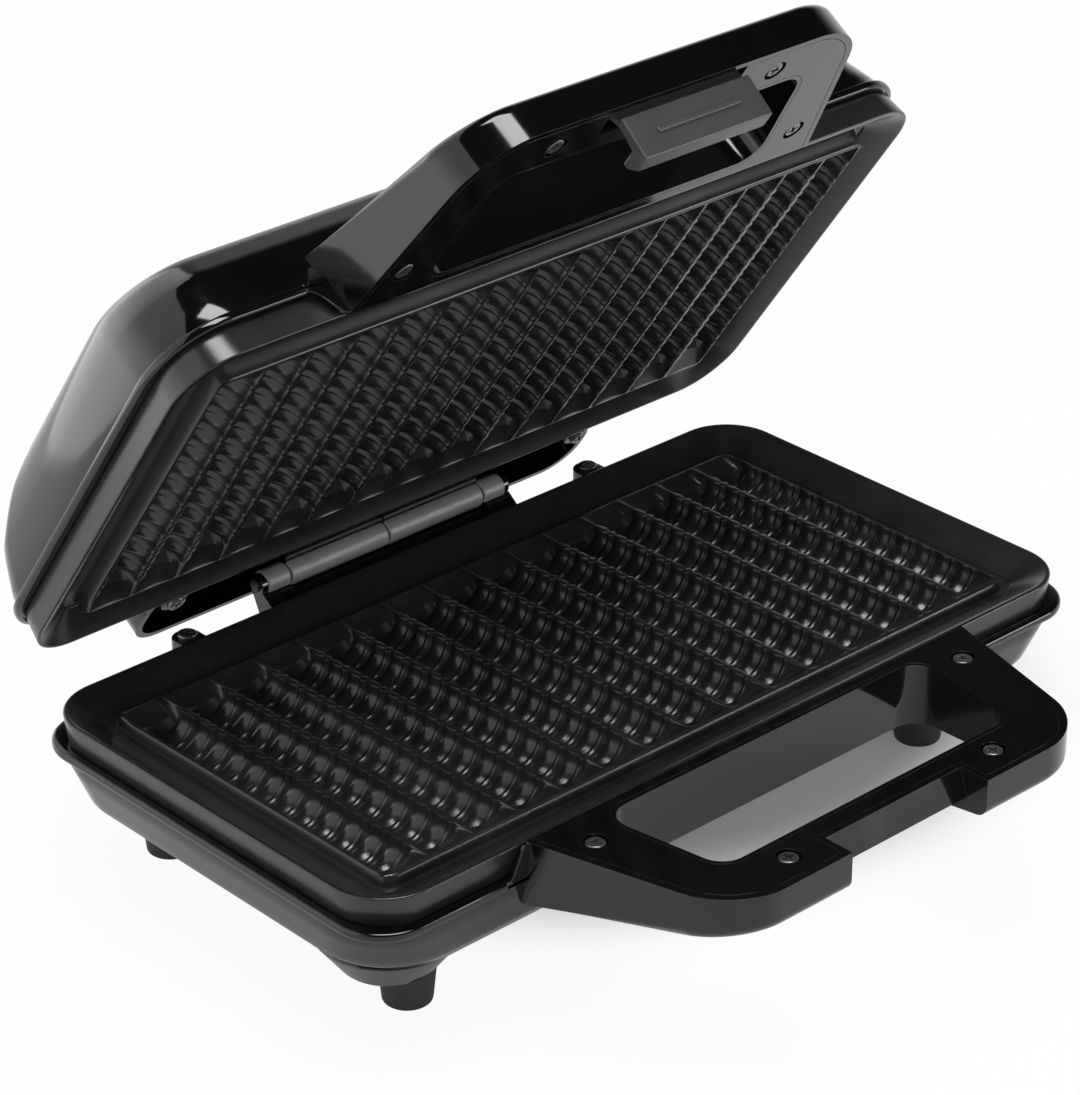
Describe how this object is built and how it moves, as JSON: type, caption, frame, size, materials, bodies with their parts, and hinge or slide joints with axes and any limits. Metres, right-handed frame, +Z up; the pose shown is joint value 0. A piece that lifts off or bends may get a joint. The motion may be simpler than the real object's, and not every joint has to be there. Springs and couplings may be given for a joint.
{
  "type": "waffle stick maker",
  "caption": "Hinged clamshell waffle stick maker with corrugated grooved plates, loop handles and a latch clip.",
  "frame": {"origin": "centre of the overall box on the plane the feet stand on", "axes": "+Z up, +Y from the handle to the hinge, +X to the right as seen from the handle"},
  "size_m": [0.3346, 0.2964, 0.2924],
  "materials": {
    "gloss_black": "high gloss black",
    "non_stick": "satin black non-stick coating",
    "foot_rubber": "matt",
    "hinge_black": "fine grained",
    "steel": "plain",
    "dark_screw": "black zinc",
    "element_sheath": "heat darkened",
    "reflector_sheet": "bright sheet",
    "fuse_case": "plain",
    "block_plastic": "plain",
    "gland_rubber": "plain",
    "red_lens": "clear tinted",
    "green_lens": "clear tinted",
    "latch_grey": "satin"
  },
  "bodies": {
    "base": {"lower_housing": "gloss_black", "lower_plate": "non_stick", "lower_handle": "gloss_black", "lower_handle_cover": "gloss_black", "lower_handle_screws": "dark_screw", "front_left_foot": "foot_rubber", "front_right_foot": "foot_rubber", "rear_left_foot": "foot_rubber", "rear_right_foot": "foot_rubber", "base_hinge_bracket": "hinge_black", "hinge_pin": "steel", "lower_plate_screws": "steel", "lower_heating_element": "element_sheath", "lower_reflector": "reflector_sheet", "lower_reflector_screws": "steel", "thermostat": "steel", "thermal_fuse": "fuse_case", "terminal_block": "block_plastic", "cord_gland": "gland_rubber"},
    "lid": {"upper_housing": "gloss_black", "upper_plate": "non_stick", "upper_handle": "gloss_black", "upper_handle_cover": "gloss_black", "upper_handle_screws": "dark_screw", "lid_hinge_bracket": "hinge_black", "upper_plate_screws": "steel", "upper_heating_element": "element_sheath", "upper_reflector": "reflector_sheet", "upper_reflector_screws": "steel", "power_lamp_lens": "red_lens", "ready_lamp_lens": "green_lens", "latch_pin": "steel"},
    "latch": {"latch_clip": "latch_grey"}
  },
  "joints": [
    {"name": "lid_hinge", "type": "hinge", "parent": "base", "child": "lid", "pos_m": [0, 0.11631, 0.0685], "axis": [-1, 0, 0], "range_deg": [-55, 40]},
    {"name": "latch_pivot", "type": "hinge", "parent": "lid", "child": "latch", "pos_m": [0, -0.02712, 0.28241], "axis": [-1, 0, 0], "range_deg": [0, 22]}
  ]
}
